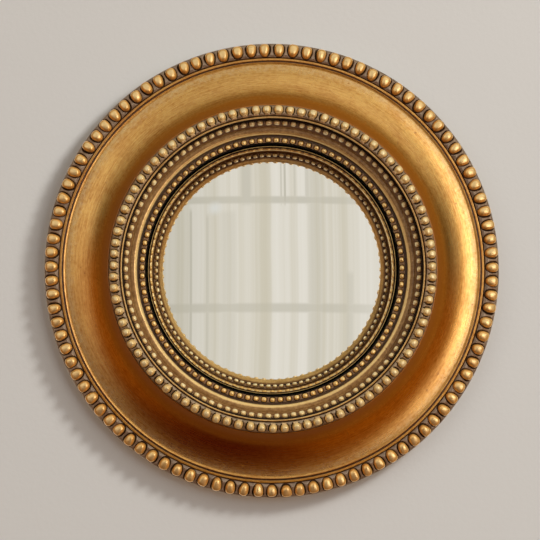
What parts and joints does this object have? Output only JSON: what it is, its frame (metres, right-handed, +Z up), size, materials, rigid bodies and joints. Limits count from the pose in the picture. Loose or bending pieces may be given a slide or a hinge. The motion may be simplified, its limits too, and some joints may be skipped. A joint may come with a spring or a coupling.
{
  "type": "convex wall mirror",
  "caption": "Round convex wall mirror in an antique-gilt frame: a broad hollow band, a raised collar, rows of beads, and a strap hanger with a swinging D-ring on the back.",
  "frame": {"origin": "on the wall, where the hook carries the top of the hanger's D-ring; the mirror's axis is 180.7 mm below it", "axes": "+Z up, +Y into the wall, the glass looks towards -Y, +X to the right of someone facing the mirror"},
  "size_m": [0.3792, 0.0594, 0.3791],
  "materials": {
    "gilt_wood": "antique gilding on turned wood, satin, brushed round, worn to brown at the edges",
    "rim_gilt": "warm gilding on cast composition, burnished beads, grey-brown patina between them",
    "pale_gilt": "pale gilding on cast composition, burnished beads, grey-brown patina between them",
    "black_slip": "black paint, satin",
    "silvered_glass": "silvered on the back",
    "felt": "pressed wool felt",
    "plywood": "bare birch plywood",
    "hardboard": "bare brown hardboard, smooth side out",
    "brassed_steel": "brass-plated steel, satin",
    "screw_steel": "zinc-plated steel",
    "rubber": "matt black rubber"
  },
  "bodies": {
    "mirror": {"cove_ring": "gilt_wood", "collar_ring": "gilt_wood", "rim_bead_moulding": "rim_gilt", "collar_bead_moulding": "pale_gilt", "middle_bead_moulding": "pale_gilt", "sight_bead_moulding": "rim_gilt", "sight_slip": "black_slip", "convex_glass": "silvered_glass", "glass_packing": "felt", "retaining_ring": "plywood", "backing_board": "hardboard", "hanger_strap": "brassed_steel", "retaining_screw_1": "screw_steel", "retaining_screw_2": "screw_steel", "retaining_screw_3": "screw_steel", "retaining_screw_4": "screw_steel", "retaining_screw_5": "screw_steel", "retaining_screw_6": "screw_steel", "board_screw_1": "screw_steel", "board_screw_2": "screw_steel", "board_screw_3": "screw_steel", "board_screw_4": "screw_steel", "board_screw_5": "screw_steel", "board_screw_6": "screw_steel", "hanger_screw_1": "screw_steel", "hanger_screw_2": "screw_steel", "wall_bumper_1": "rubber", "wall_bumper_2": "rubber", "wall_bumper_3": "rubber", "wall_bumper_4": "rubber"},
    "hook_ring": {"hanger_ring": "brassed_steel"}
  },
  "joints": [
    {"name": "ring_swing", "type": "hinge", "parent": "mirror", "child": "hook_ring", "pos_m": [0, -0.0026, -0.01637], "axis": [-1, 0, 0], "range_deg": [0, 182]}
  ]
}
